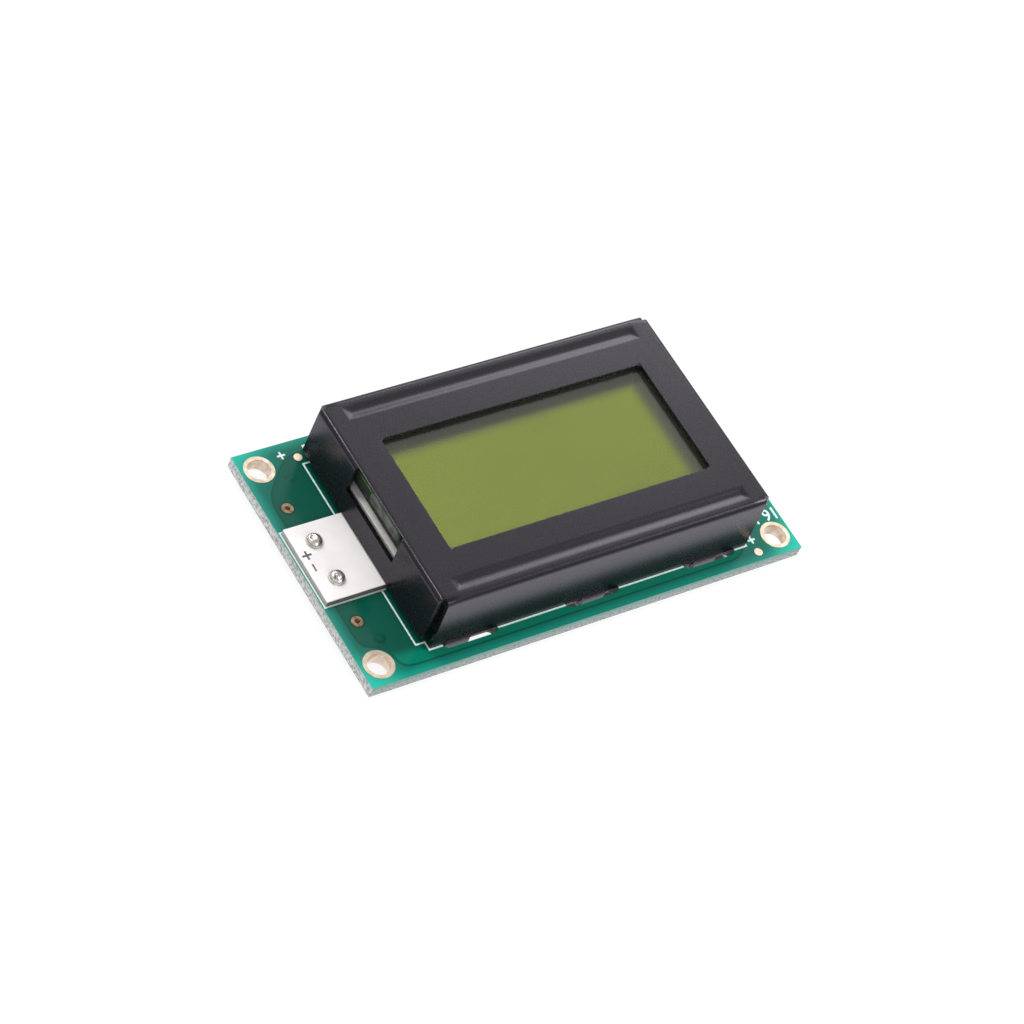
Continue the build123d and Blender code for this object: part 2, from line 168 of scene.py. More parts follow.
world = bpy.data.worlds.new("studio_air")
bpy.context.scene.world = world
world.use_nodes = True
air = world.node_tree
air.nodes.clear()
path = add_node(air, "ShaderNodeLightPath")
sky_height = split(air, add_node(air, "ShaderNodeTexCoord").outputs["Generated"])[2]
lift = step_up(air, sky_height, 0.0, HORIZON_ENDS, HORIZON_IN_GLOSS, 1.0)
overhead = step_up(air, sky_height, OVERHEAD_STARTS, OVERHEAD_ENDS, 1.0, OVERHEAD_IN_GLOSS)
white_sky = add_node(air, "ShaderNodeBackground", Color=WHITE, Strength=1.0)
soft_sky = add_node(air, "ShaderNodeBackground", Color=WHITE, Strength=WORLD_STRENGTH)
gloss_strength = calculate(air, "MULTIPLY", lift, overhead)
gloss_sky = add_node(air, "ShaderNodeBackground", Color=WHITE, Strength=gloss_strength)
lit_sky = mix_shader(air, path.outputs["Is Glossy Ray"], soft_sky, gloss_sky)
seen_sky = mix_shader(air, path.outputs["Is Camera Ray"], lit_sky, white_sky)
add_node(air, "ShaderNodeOutputWorld", Surface=seen_sky.outputs[0])
print("world strength on the object:", WORLD_STRENGTH)

# %% [markdown]
# ## The lamps
#
# The plate, the folds and the ribs each mirror another part of the room. One large lamp
# behind the module would be simpler, but it would turn the whole plate grey. Five smaller
# ones each stand where one face or fold looks, and leave the others dark.

# %% Hang five soft lamps
LAMP_DISTANCE = 0.6
WIDE_LAMP = 0.20
SMALL_LAMP = 0.10


def hang_lamp(name, bearing, height_angle, side, power):
    """A square lamp that looks at the module, by its bearing and its angle above the floor."""
    light = bpy.data.lights.new(name, "AREA")
    light.shape = "SQUARE"
    light.size = side
    light.energy = power
    lamp = bpy.data.objects.new(name, light)
    bpy.context.scene.collection.objects.link(lamp)
    flat = math.cos(math.radians(height_angle))
    way = Vector((flat * math.cos(math.radians(bearing)), flat * math.sin(math.radians(bearing)),
                  math.sin(math.radians(height_angle))))
    lamp.matrix_world = Matrix.LocRotScale(
        CAMERA_AIM + LAMP_DISTANCE * way, way.to_track_quat("Z", "Y"), None)
    print(name, "power, W:", power)


hang_lamp("corner_lamp", 44.0, 32.0, WIDE_LAMP, 0.8)
hang_lamp("right_lamp", -10.0, 38.0, WIDE_LAMP, 2.0)
hang_lamp("back_lamp", 95.0, 38.0, WIDE_LAMP, 1.0)
hang_lamp("top_lamp", 117.0, 61.0, SMALL_LAMP, 1.1)
hang_lamp("front_lamp", -85.0, 35.0, WIDE_LAMP, 0.8)

# %% [markdown]
# ## The floor
#
# The floor is a pale sheet that looks white to the camera and still keeps the module's
# shadow. The photograph shows dark ground through two of the board's slots and white
# through the third. A shadow alone would come out too pale for that, so a patch under the
# board is darker, for the camera only. From below the floor is clear, and the module's
# underside can be seen.

# %% Lay the floor's sheet
FLOOR_SIDE = 4.0

floor_mesh = bpy.data.meshes.new("floor")
flat_sheet = bmesh.new()
bmesh.ops.create_grid(flat_sheet, x_segments=1, y_segments=1, size=FLOOR_SIDE / 2)
flat_sheet.to_mesh(floor_mesh)
flat_sheet.free()
floor = bpy.data.objects.new("floor", floor_mesh)
bpy.context.scene.collection.objects.link(floor)
print("floor side, m:", FLOOR_SIDE)

# %% Darken the ground under the board
FLOOR_GLOW = 0.91
SHADE_MIDDLE = (7.0 * MM, 0.0, 0.0)
SHADE_REACH_X = 15.0 * MM
SHADE_REACH_Y = 14.6 * MM
SHADE_SOFT_X = 1.0 * MM
SHADE_SOFT_Y = 0.4 * MM
UNDER_BOARD = 0.04

floor_finish = start_empty("pale_floor")
tree = floor_finish.node_tree
path = add_node(tree, "ShaderNodeLightPath")
place = add_node(tree, "ShaderNodeTexCoord").outputs["Object"]
from_shade = calculate_vector(tree, "ABSOLUTE", calculate_vector(tree, "SUBTRACT", place, SHADE_MIDDLE))
shade_x, shade_y, _ = split(tree, from_shade)
lit_x = step_up(tree, shade_x, SHADE_REACH_X - SHADE_SOFT_X, SHADE_REACH_X)
lit_y = step_up(tree, shade_y, SHADE_REACH_Y - SHADE_SOFT_Y, SHADE_REACH_Y)
unseen = calculate(tree, "SUBTRACT", 1.0, path.outputs["Is Camera Ray"])
lit = calculate(tree, "MAXIMUM", calculate(tree, "MAXIMUM", lit_x, lit_y), unseen)
floor_light = add_node(tree, "ShaderNodeMapRange", Value=lit,
                       To_Min=UNDER_BOARD * FLOOR_GLOW, To_Max=FLOOR_GLOW)
print("shade reaches, mm:", round(SHADE_REACH_X / MM, 1), round(SHADE_REACH_Y / MM, 1))

# %% Mix the floor's finish
FLOOR_WHITE = (0.9, 0.9, 0.9, 1)
SHADOW_SHARE = (0.12, 0.12, 0.12, 1)
FLOOR_IN_GLOSS = 0.58
GLOSS_TINT = (1.0, 0.93, 1.08, 1)

bounce = add_node(tree, "ShaderNodeBsdfDiffuse", Color=FLOOR_WHITE)
shadowed = add_node(tree, "ShaderNodeBsdfDiffuse", Color=SHADOW_SHARE)
glow = add_node(tree, "ShaderNodeEmission", Color=WHITE, Strength=floor_light.outputs[0])
in_gloss = calculate(tree, "MULTIPLY", path.outputs["Is Glossy Ray"], FLOOR_IN_GLOSS)
brighter = add_node(tree, "ShaderNodeEmission", Color=GLOSS_TINT, Strength=in_gloss)
seen = add_node(tree, "ShaderNodeAddShader", in0=shadowed.outputs[0], in1=glow.outputs[0])
seen = add_node(tree, "ShaderNodeAddShader", in0=seen.outputs[0], in1=brighter.outputs[0])
straight = calculate(tree, "MAXIMUM", path.outputs["Is Camera Ray"], path.outputs["Is Glossy Ray"])
straight = calculate(tree, "MAXIMUM", straight, path.outputs["Is Transmission Ray"])
mixed = mix_shader(tree, straight, bounce, seen)
from_below = add_node(tree, "ShaderNodeNewGeometry").outputs["Backfacing"]
mixed = mix_shader(tree, from_below, mixed, add_node(tree, "ShaderNodeBsdfTransparent"))
add_node(tree, "ShaderNodeOutputMaterial", Surface=mixed.outputs[0])
floor_mesh.materials.append(floor_finish)
print("floor white:", FLOOR_WHITE[:3])

# %% [markdown]
# ## How the finishes are made
#
# Each finish is one Principled shader with patterns in front of it. The patterns read
# Object coordinates, which are metres from the part's origin, so a pattern keeps its real
# size and its place. A noise a fraction of a millimetre wide serves as paint grain, glass
# weave or cast resin, and a ramp turns it into two close colours. The helpers below name
# these steps in millimetres.

# %% Write the helpers that the finishes share
BLOTCH_SHARE = 0.5
NOISE_ROUGHNESS = 0.55


def start_finish(name, colour, roughness, metallic=0.0):
    """A new material with one Principled shader, and its object coordinates ready."""
    finish = bpy.data.materials.new(name)
    finish.use_nodes = True
    shader = finish.node_tree.nodes["Principled BSDF"]
    shader.inputs["Base Color"].default_value = (*colour, 1)
    shader.inputs["Roughness"].default_value = roughness
    shader.inputs["Metallic"].default_value = metallic
    place = add_node(finish.node_tree, "ShaderNodeTexCoord").outputs["Object"]
    return finish, shader, place


def grain(tree, place, size_mm, detail=2.0):
    """A noise whose blotches are about size_mm across. Returns its 0 to 1 value."""
    noise = add_node(tree, "ShaderNodeTexNoise", Vector=place, Scale=BLOTCH_SHARE / (size_mm * MM),
                     Detail=detail, Roughness=NOISE_ROUGHNESS)
    return noise.outputs["Fac"]


def relief(tree, shader, height, depth_mm):
    """Bumps the shader's surface by a height pattern that is depth_mm deep."""
    bump = add_node(tree, "ShaderNodeBump", Height=height, Strength=1.0, Distance=depth_mm * MM)
    tree.links.new(bump.outputs["Normal"], shader.inputs["Normal"])


def dress(finish, *names):
    """Gives CAD nodes this finish, in place of the ones they came with."""
    for name in names:
        for slot in nodes[name].material_slots:
            slot.material = finish


print("helpers ready: start_finish, grain, relief, dress")

# %% Write the helpers that mix colours
def mix_colour(tree, share, first, second):
    """One colour or the other, by a share from 0 to 1."""
    first, second = (c if isinstance(c, bpy.types.NodeSocket) else (*c, 1) for c in (first, second))
    mixer = add_node(tree, "ShaderNodeMix", {"data_type": "RGBA"}, in0=share, in6=first, in7=second)
    return mixer.outputs[2]


def mix_number(tree, share, first, second):
    """One number or the other, by a share from 0 to 1."""
    mixer = add_node(tree, "ShaderNodeMix", {"data_type": "FLOAT"}, in0=share, in2=first, in3=second)
    return mixer.outputs[0]


def tint(tree, base, share, strength, colour):
    """Lays a colour over a base, where the share says and as strongly as strength says."""
    return mix_colour(tree, calculate(tree, "MULTIPLY", share, strength), base, colour)


print("helpers ready: mix_colour, mix_number, tint")

# %% Write the helpers that find a face or an end
SKIN_STARTS = 0.06 * MM
SKIN_FULL = 0.02 * MM


def on_face(tree, height, level):
    """1 on a face at this level, 0 just below it."""
    return step_up(tree, height, level - SKIN_STARTS, level - SKIN_FULL)


def off_end(tree, along, end):
    """0 on an end face at this place, 1 just inside it."""
    return step_up(tree, along, end + SKIN_FULL, end + SKIN_STARTS)


print("a skin, mm:", round(SKIN_STARTS / MM, 2))

# %% Write a quick finish of two close colours
DULLER = 1.25
GLOSSIER = 0.85


def mottled_finish(name, dark, light, size_mm, roughness, metallic=0.0, depth_mm=0.0, contrast=0.18):
    """A finish whose colour and gloss wander between two close values, with a light relief."""
    finish, shader, place = start_finish(name, light, roughness, metallic)
    tree = finish.node_tree
    blotches = step_up(tree, grain(tree, place, size_mm), 0.5 - contrast, 0.5 + contrast)
    tree.links.new(mix_colour(tree, blotches, dark, light), shader.inputs["Base Color"])
    rough = mix_number(tree, blotches, min(1.0, roughness * DULLER), roughness * GLOSSIER)
    tree.links.new(rough, shader.inputs["Roughness"])
    if depth_mm:
        relief(tree, shader, grain(tree, place, size_mm / 2), depth_mm)
    return finish


print("helper ready: mottled_finish")

# %% [markdown]
# ## The circuit board
#
# The board is glass cloth in resin, with a green solder mask on both faces and a sawn,
# pale edge. Under the mask lies copper: where it is solid the green is lighter, and its
# rounded border shows as a fine dark line near the corners. A picture of the tracks could
# be painted on, but the same border comes from a few sums on Object coordinates: how far
# a point lies outside a rectangle with rounded corners.

# %% Find the board's levels
board_low, board_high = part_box("main_board")
board_middle_z = (board_low.z + board_high.z) / 2
board_half_z = (board_high.z - board_low.z) / 2
print("board, mm:", [round(v / MM, 2) for v in (*board_low, *board_high)])

# %% Work out the copper's rounded border
BORDER_LEFT = -27.64 * MM
BORDER_RIGHT = 22.7 * MM
BORDER_FRONT = 14.85 * MM
BORDER_BACK = 14.3 * MM
BORDER_ROUND = 3.0 * MM
MASK_GREEN = (0.006, 0.13, 0.085)
MASK_ROUGHNESS = 0.16
MASK_SHINE = 0.24

board_finish, board_shader, place = start_finish("solder_mask", MASK_GREEN, MASK_ROUGHNESS)
board_shader.inputs["Specular IOR Level"].default_value = MASK_SHINE
tree = board_finish.node_tree
spot_x, spot_y, spot_z = split(tree, place)
border_middle = (BORDER_LEFT + BORDER_RIGHT) / 2
border_half = (BORDER_RIGHT - BORDER_LEFT) / 2
from_centre = calculate(tree, "ABSOLUTE", calculate(tree, "SUBTRACT", spot_x, border_middle))
past_x = calculate(tree, "SUBTRACT", from_centre, border_half - BORDER_ROUND)
past_back = calculate(tree, "SUBTRACT", spot_y, BORDER_BACK - BORDER_ROUND)
past_front = calculate(tree, "SUBTRACT", BORDER_ROUND - BORDER_FRONT, spot_y)
past_y = calculate(tree, "MAXIMUM", past_back, past_front)
corner = add_node(tree, "ShaderNodeCombineXYZ", X=calculate(tree, "MAXIMUM", past_x, 0.0),
                  Y=calculate(tree, "MAXIMUM", past_y, 0.0))
corner = calculate_vector(tree, "LENGTH", corner.outputs[0])
within = calculate(tree, "MINIMUM", calculate(tree, "MAXIMUM", past_x, past_y), 0.0)
past_border = calculate(tree, "SUBTRACT", calculate(tree, "ADD", corner, within), BORDER_ROUND)
print("border from, mm:", round(BORDER_LEFT / MM, 2), "to", round(BORDER_RIGHT / MM, 2))

# %% Lead the border round the front hole and across the back corner
FRONT_HOLE = (-26.8 * MM, -13.5 * MM, 0.0)
HOLE_MARGIN = 2.0 * MM
HOLE_BLEND = 3.5 * MM
BACK_CUT_WAY = (-0.7071, 0.7071, 0.0)
BACK_CUT = 26.45 * MM
BACK_BLEND = 2.0 * MM
BORDER_SOFT = 0.05 * MM
GAP_WIDTH = 0.14 * MM


def smooth_max(tree, first, second, blend):
    """The larger of two numbers, rounded off where they cross."""
    larger = add_node(tree, "ShaderNodeMath", {"operation": "SMOOTH_MAX"}, in0=first, in1=second, in2=blend)
    return larger.outputs[0]


flat_spot = add_node(tree, "ShaderNodeCombineXYZ", X=spot_x, Y=spot_y).outputs[0]
to_hole = calculate_vector(tree, "DISTANCE", flat_spot, FRONT_HOLE)
outside = smooth_max(tree, past_border, calculate(tree, "SUBTRACT", HOLE_MARGIN, to_hole), HOLE_BLEND)
along_cut = calculate_vector(tree, "DOT_PRODUCT", flat_spot, BACK_CUT_WAY)
outside = smooth_max(tree, outside, calculate(tree, "SUBTRACT", along_cut, BACK_CUT), BACK_BLEND)
beyond = step_up(tree, outside, -BORDER_SOFT, BORDER_SOFT)
gap_line = step_down(tree, calculate(tree, "ABSOLUTE", outside), GAP_WIDTH / 2, GAP_WIDTH)
print("gap at the border, mm:", round(GAP_WIDTH / MM, 2))

# %% Colour the mask by what lies under it, and paint its front strip lighter as lit
MASK_ON_LAMINATE = (0.001, 0.074, 0.048)
MASK_LIT_IN_FRONT = (0.001, 0.150, 0.092)
MASK_ON_COPPER = (0.003, 0.122, 0.091)
MASK_IN_GAP = (0.001, 0.050, 0.033)
MASK_CLOUD = (0.008, 0.17, 0.12)
LIT_FRONT_STRIP = (-13.6 * MM, -12.4 * MM)
GAP_SHARE = 0.85
CLOUD_SIZE = 3.0
CLOUD_SHARE = 0.2

# The strip in front of the bezel gets a lighter green: a painted light, where the board is lit more from the
# front.
inside = mix_colour(tree, step_down(tree, spot_y, *LIT_FRONT_STRIP), MASK_ON_LAMINATE, MASK_LIT_IN_FRONT)
mask = mix_colour(tree, beyond, inside, MASK_ON_COPPER)
mask = tint(tree, mask, gap_line, GAP_SHARE, MASK_IN_GAP)
mask = tint(tree, mask, grain(tree, place, CLOUD_SIZE, detail=3.0), CLOUD_SHARE, MASK_CLOUD)
print("mask colours:", MASK_ON_LAMINATE, MASK_ON_COPPER)

# %% Paint light on the mask at the rim and the corners
MASK_LIT_AT_EDGE = (0.016, 0.36, 0.27)
MASK_LIT_AT_CORNER = (0.020, 0.50, 0.38)
EDGE_GLOW = 1.3 * MM
EDGE_SHARE = 0.45
CORNER_GLOW = 5.5 * MM
CORNER_SHARE = 0.6

from_end = calculate(tree, "SUBTRACT", board_high.x, calculate(tree, "ABSOLUTE", spot_x))
from_side = calculate(tree, "SUBTRACT", board_high.y, calculate(tree, "ABSOLUTE", spot_y))
from_rim = calculate(tree, "MINIMUM", from_end, from_side)
# The rim and the corners, which the bezel doesn't shade, are painted lighter: a painted light.
mask = tint(tree, mask, step_down(tree, from_rim, 0.0, EDGE_GLOW), EDGE_SHARE, MASK_LIT_AT_EDGE)
to_corner = add_node(tree, "ShaderNodeCombineXYZ", X=from_end, Y=from_side).outputs[0]
to_corner = calculate_vector(tree, "LENGTH", to_corner)
mask = tint(tree, mask, step_down(tree, to_corner, 0.0, CORNER_GLOW), CORNER_SHARE, MASK_LIT_AT_CORNER)
print("glow at a corner, mm:", round(CORNER_GLOW / MM, 1))

# %% Ring the buried pads and the vias
BURIED_PADS = ((-23.94, 11.55), (-24.99, -10.61))
PAD_RING = (0.5, 0.08, 0.3)
PAD_GREEN = (0.002, 0.055, 0.035)
PATCH_SIZE = 0.35
PATCH_RANGE = (0.4, 0.6)
VIA_PLACES = ((-26.3, 7.85), (-26.3, -7.85))
VIA_RING = (0.78, 0.05, 0.22)
VIA_SHARE = 0.8


def ring_round(spot, radius_mm, line_mm, fade_mm):
    """A ring on the board's top face: 1 on the line, 0 where it has faded out."""
    centre = (spot[0] * MM, spot[1] * MM, board_high.z)
    from_centre = calculate_vector(tree, "DISTANCE", place, centre)
    off_line = calculate(tree, "ABSOLUTE", calculate(tree, "SUBTRACT", from_centre, radius_mm * MM))
    return step_down(tree, off_line, line_mm * MM, fade_mm * MM)


for pad in BURIED_PADS:
    patchy = step_up(tree, grain(tree, place, PATCH_SIZE), *PATCH_RANGE)
    mask = tint(tree, mask, ring_round(pad, *PAD_RING), patchy, PAD_GREEN)
for via in VIA_PLACES:
    mask = tint(tree, mask, ring_round(via, *VIA_RING), VIA_SHARE, MASK_IN_GAP)
print("rings drawn:", len(BURIED_PADS) + len(VIA_PLACES))

# %% Colour the sawn edge, with its left end painted paler as lit
EDGE_PALE = (0.42, 0.42, 0.42)
EDGE_DARK = (0.20, 0.24, 0.23)
EDGE_GREEN = (0.13, 0.31, 0.26)
EDGE_GREEN_SHARE = 0.85
LIT_LEFT_PALE = (0.70, 0.67, 0.68)
LIT_LEFT_DARK = (0.31, 0.34, 0.33)
LIT_LEFT_GREEN_SHARE = 0.35
FIBRE_SIZE = 0.16
FIBRE_RANGE = (0.34, 0.60)

fibres = step_up(tree, grain(tree, place, FIBRE_SIZE, detail=3.0), *FIBRE_RANGE)
high_up = step_up(tree, spot_z, board_middle_z - board_half_z / 2, board_high.z)
edge = mix_colour(tree, fibres, EDGE_DARK, EDGE_PALE)
edge = tint(tree, edge, high_up, EDGE_GREEN_SHARE, EDGE_GREEN)
# The left end face gets a paler copy of the edge's colours: a painted light, as that face is lit more than
# the front.
lit_left_edge = mix_colour(tree, fibres, LIT_LEFT_DARK, LIT_LEFT_PALE)
lit_left_edge = tint(tree, lit_left_edge, high_up, LIT_LEFT_GREEN_SHARE, EDGE_GREEN)
edge = mix_colour(tree, off_end(tree, spot_x, board_low.x), lit_left_edge, edge)
print("edge colours:", EDGE_DARK, EDGE_PALE)

# %% Join the faces and the edge in one finish
EDGE_ROUGHNESS = 0.75
WEAVE_SIZE = 0.5
WEAVE_SHARE = 0.12
BOARD_RELIEF = 0.03

from_middle = calculate(tree, "ABSOLUTE", calculate(tree, "SUBTRACT", spot_z, board_middle_z))
face = on_face(tree, from_middle, board_half_z)
tree.links.new(mix_colour(tree, face, edge, mask), board_shader.inputs["Base Color"])
tree.links.new(mix_number(tree, face, EDGE_ROUGHNESS, MASK_ROUGHNESS), board_shader.inputs["Roughness"])
weave = calculate(tree, "MULTIPLY", grain(tree, place, WEAVE_SIZE, detail=1.0), WEAVE_SHARE)
relief(tree, board_shader, mix_number(tree, face, fibres, weave), BOARD_RELIEF)
dress(board_finish, "main_board")
print("mask starts, mm under each face:", round(SKIN_FULL / MM, 2))

# %% [markdown]
# ## White print
#
# Thin white ink frames the bezel and the backlight's tab, and small signs stand beside
# the holes. The lines are CAD solids. The signs are set as text, which Blender makes into
# a mesh: that gives clean numerals for little work. They are plain numbers for the ends of
# the header's columns, and plain plus signs.

# %% Mix the ink
ink = mottled_finish("white_ink", (0.58, 0.74, 0.69), (0.74, 0.86, 0.82), 0.12, 0.55, depth_mm=0.004)
dress(ink, "board_print")
print("ink on:", "board_print")

# %% Write a helper that prints a sign on a face
def stamp(name, sign, place_mm, level, height_mm, turn_degrees, finish,
          thickness_mm=0.03, width_share=1.0, weight=0.0):
    """Sets a short sign as a mesh, centred at a place in mm and standing on a level."""
    letters = bpy.data.curves.new(name, "FONT")
    letters.body = sign
    letters.size = 1.0
    letters.extrude = 0.5
    letters.offset = weight
    holder = bpy.data.objects.new(name + "_text", letters)
    bpy.context.scene.collection.objects.link(holder)
    bpy.context.view_layer.update()
    set_text = holder.evaluated_get(bpy.context.evaluated_depsgraph_get())
    flat_mesh = bpy.data.meshes.new_from_object(set_text)
    bpy.data.objects.remove(holder)
    corners = [v.co for v in flat_mesh.vertices]
    low = Vector([min(c[i] for c in corners) for i in range(3)])
    high = Vector([max(c[i] for c in corners) for i in range(3)])
    tall = height_mm * MM / (high.y - low.y)
    centre = Matrix.Translation(-(low + high) / 2)
    scale = Matrix.Diagonal((tall * width_share, tall, thickness_mm * MM / (high.z - low.z), 1))
    turn = Matrix.Rotation(math.radians(turn_degrees), 4, "Z")
    shift = Matrix.Translation((place_mm[0] * MM, place_mm[1] * MM, level + thickness_mm * MM / 2))
    flat_mesh.transform(shift @ turn @ scale @ centre)
    flat_mesh.name = name
    flat_mesh.materials.clear()
    flat_mesh.materials.append(finish)
    piece = bpy.data.objects.new(name, flat_mesh)
    bpy.context.scene.collection.objects.link(piece)
    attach(piece, "root")


print("helper ready: stamp")

# %% Print the numbers at the ends of the header's columns
NUMBER_HEIGHT = 1.6
NUMBER_WIDTH = 0.95
NUMBER_WEIGHT = 0.01
NUMBER_Y = 10.8
COLUMN_X = (25.1, 27.64)
LAST_NUMBER_SHIFT = 0.1

for number, x, y in (("15", COLUMN_X[0], -NUMBER_Y), ("16", COLUMN_X[1] + LAST_NUMBER_SHIFT, -NUMBER_Y),
                     ("1", COLUMN_X[0], NUMBER_Y), ("2", COLUMN_X[1], NUMBER_Y)):
    stamp("column_number_" + number, number, (x, y), board_high.z, NUMBER_HEIGHT, 180, ink,
          width_share=NUMBER_WIDTH, weight=NUMBER_WEIGHT)
print("numbers 1, 2, 15 and 16 printed")

# %% Print a plain plus sign at two corners
PLUS_HEIGHT = 1.0
PLUS_WEIGHT = 0.02

for name, plus_place in (("plus_back", (-23.5, 14.45)), ("plus_front", (23.55, -13.2))):
    stamp(name, "+", plus_place, board_high.z, PLUS_HEIGHT, 0, ink, weight=PLUS_WEIGHT)
print("plus signs printed")

# %% [markdown]
# ## Plated holes and bare copper
#
# The corner holes, the header's holes and the vias are lined with thin plated metal. In
# the photograph the rings are a pale tan, satin rather than shiny, and the vias are a
# darker brown. A metal shader gives both, with a slow mottling for the plating.

# %% Make the plating
plating = mottled_finish("plating", (0.52, 0.41, 0.30), (0.68, 0.58, 0.47), 0.5, 0.45,
                         metallic=0.6, depth_mm=0.01)
via_plating = mottled_finish("via_plating", (0.24, 0.14, 0.07), (0.50, 0.36, 0.24), 0.25, 0.4,
                             metallic=0.6, depth_mm=0.02)
bare_copper = mottled_finish("bare_copper", (0.72, 0.46, 0.33), (0.90, 0.68, 0.55), 0.3, 0.4,
                             metallic=0.55, depth_mm=0.008)
dress(plating, "hole_lining_front_left", "hole_lining_front_right",
      "hole_lining_back_left", "hole_lining_back_right",
      "header_linings", "front_contact_fingers", "back_contact_fingers")
dress(via_plating, "via_linings")
dress(bare_copper, "fiducial_dots")
print("plating on the holes, vias and fiducials")

# %% [markdown]
# ## The bezel
#
# The bezel is stamped and folded from half-millimetre steel, then painted satin black. The
# CAD solid has its shape, but its edges are knife sharp, and no painted edge is. It could
# be rounded with a modifier, but the short edges of its curves would keep that too small.
# So it is folded again here, as the press does it: a flat blank is cut out, two shallow
# ribs are pressed into it, its edges are bent down, and it gets its thickness last.

# %% Write the helpers that shape a piece
def make_piece(name, shape, finish, slot, *replaced):
    """Turns a bmesh into an object that rides on the part and stands for CAD nodes."""
    mesh = bpy.data.meshes.new(name)
    shape.to_mesh(mesh)
    shape.free()
    mesh.materials.append(finish)
    piece = bpy.data.objects.new(name, mesh)
    bpy.context.scene.collection.objects.link(piece)
    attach(piece, "root")
    if replaced:
        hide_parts(*replaced)
    print(name, "faces:", len(mesh.polygons))
    return piece


def soften(shape, edges, offset, segments):
    """Rounds the given edges of a shape by an offset, in so many flat strips."""
    bmesh.ops.bevel(shape, geom=edges, offset=offset, offset_type="OFFSET", affect="EDGES",
                    segments=segments, profile=0.5, material=-1, clamp_overlap=True)


def pull(shape, edges, move):
    """Extrudes a row of edges and moves the new row. Returns all that is new."""
    new = bmesh.ops.extrude_edge_only(shape, edges=edges)["geom"]
    corners = [g for g in new if isinstance(g, bmesh.types.BMVert)]
    bmesh.ops.translate(shape, verts=corners, vec=move)
    return new


print("helpers ready: make_piece, soften, pull")

# %% Lay out the blank's lines
SHEET = 0.5 * MM
BEND = 0.65 * MM
NOTCH_X = 0.85 * MM
NOTCH_Y = 0.75 * MM
WINDOW = Vector((35.0, 15.24)) * MM
RIB_LENGTH = 39.1 * MM
RIB_WIDTH = 1.6 * MM
RIB_FROM_SIDE = 2.05 * MM
END_GAP = 1.0 * MM
WALL_FLARE = 0.2 * MM

steel_low, steel_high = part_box("bezel")
steel_top = steel_high.z
middle = (steel_low + steel_high) / 2
wall_height = steel_top - board_high.z
half = (steel_high - steel_low) / 2
half.x -= WALL_FLARE * (1 - END_GAP / wall_height)
half.y -= WALL_FLARE
rib_y = half.y - RIB_FROM_SIDE
print("blank, mm:", round(2 * half.x / MM, 2), "by", round(2 * half.y / MM, 2))

# %% Write a helper that cuts a shape across
SNAP = 0.0001 * MM
TOUCH = 0.001 * MM
NEAR = 0.01 * MM


def cut_across(shape, axis, places, only=None):
    """Cuts the mesh along planes that cross one axis at each place."""
    for place_on_axis in places:
        faces = [f for f in shape.faces if only is None or only(f)]
        edges = {e for f in faces for e in f.edges}
        verts = {v for f in faces for v in f.verts}
        point = Vector([place_on_axis if i == axis else 0 for i in range(3)])
        normal = Vector([1 if i == axis else 0 for i in range(3)])
        bmesh.ops.bisect_plane(shape, geom=faces + list(edges) + list(verts), dist=SNAP,
                               plane_co=point, plane_no=normal)


print("helper ready: cut_across, which snaps within, mm:", round(SNAP / MM, 4))

# %% Cut the blank and open its window
blank = bmesh.new()
bmesh.ops.create_grid(blank, x_segments=1, y_segments=1, size=1.0)
bmesh.ops.scale(blank, verts=blank.verts, vec=(half.x, half.y, 1))
lines_x = (half.x - NOTCH_X, RIB_LENGTH / 2, WINDOW.x / 2)
lines_y = (half.y - NOTCH_Y, rib_y + RIB_WIDTH / 2, rib_y - RIB_WIDTH / 2, WINDOW.y / 2)
cut_across(blank, 0, [side * x for side in (-1, 1) for x in lines_x])
cut_across(blank, 1, [side * y for side in (-1, 1) for y in lines_y])


def in_corner(facet):
    """Whether a face lies in one of the four corner notches."""
    spot = facet.calc_center_median()
    return abs(spot.x) > half.x - NOTCH_X and abs(spot.y) > half.y - NOTCH_Y


def in_window(facet):
    """Whether a face lies in the window."""
    spot = facet.calc_center_median()
    return abs(spot.x) < WINDOW.x / 2 and abs(spot.y) < WINDOW.y / 2


cut_out = [f for f in blank.faces if in_corner(f) or in_window(f)]
bmesh.ops.delete(blank, geom=cut_out, context="FACES")
print("blank faces:", len(blank.faces))

# %% Press the two ribs in
RIB_DEPTH = 0.13 * MM
RIB_SLOPE = 0.54 * MM
RIB_SOFT = 0.25 * MM
RIB_ANGLE = 0.15


def in_rib(facet):
    """Whether a face lies in one of the two ribs."""
    spot = facet.calc_center_median()
    return abs(spot.x) < RIB_LENGTH / 2 and abs(abs(spot.y) - rib_y) < RIB_WIDTH / 2


rib_faces = [f for f in blank.faces if in_rib(f)]
bmesh.ops.inset_region(blank, faces=rib_faces, thickness=RIB_SLOPE, depth=0, use_even_offset=True)
trough = {v for f in rib_faces for v in f.verts}
bmesh.ops.translate(blank, verts=list(trough), vec=(0, 0, -RIB_DEPTH))
rib_crease = [e for e in blank.edges if len(e.link_faces) == 2 and e.calc_face_angle(0) > RIB_ANGLE]
soften(blank, rib_crease, RIB_SOFT, 4)
print("rib depth, mm:", round(RIB_DEPTH / MM, 2), "blank faces:", len(blank.faces))

# %% Turn the window's lip down and round its corners
LIP_DEPTH = 0.7 * MM
WINDOW_ROUND = 0.4 * MM
RIM_SOFT = 0.12 * MM
RIM_ANGLE = 1.2


def at_window(edge):
    """Whether an edge runs along the window's rim."""
    spot = (edge.verts[0].co + edge.verts[1].co) / 2
    return edge.is_boundary and abs(spot.x) < WINDOW.x / 2 + NEAR and abs(spot.y) < WINDOW.y / 2 + NEAR


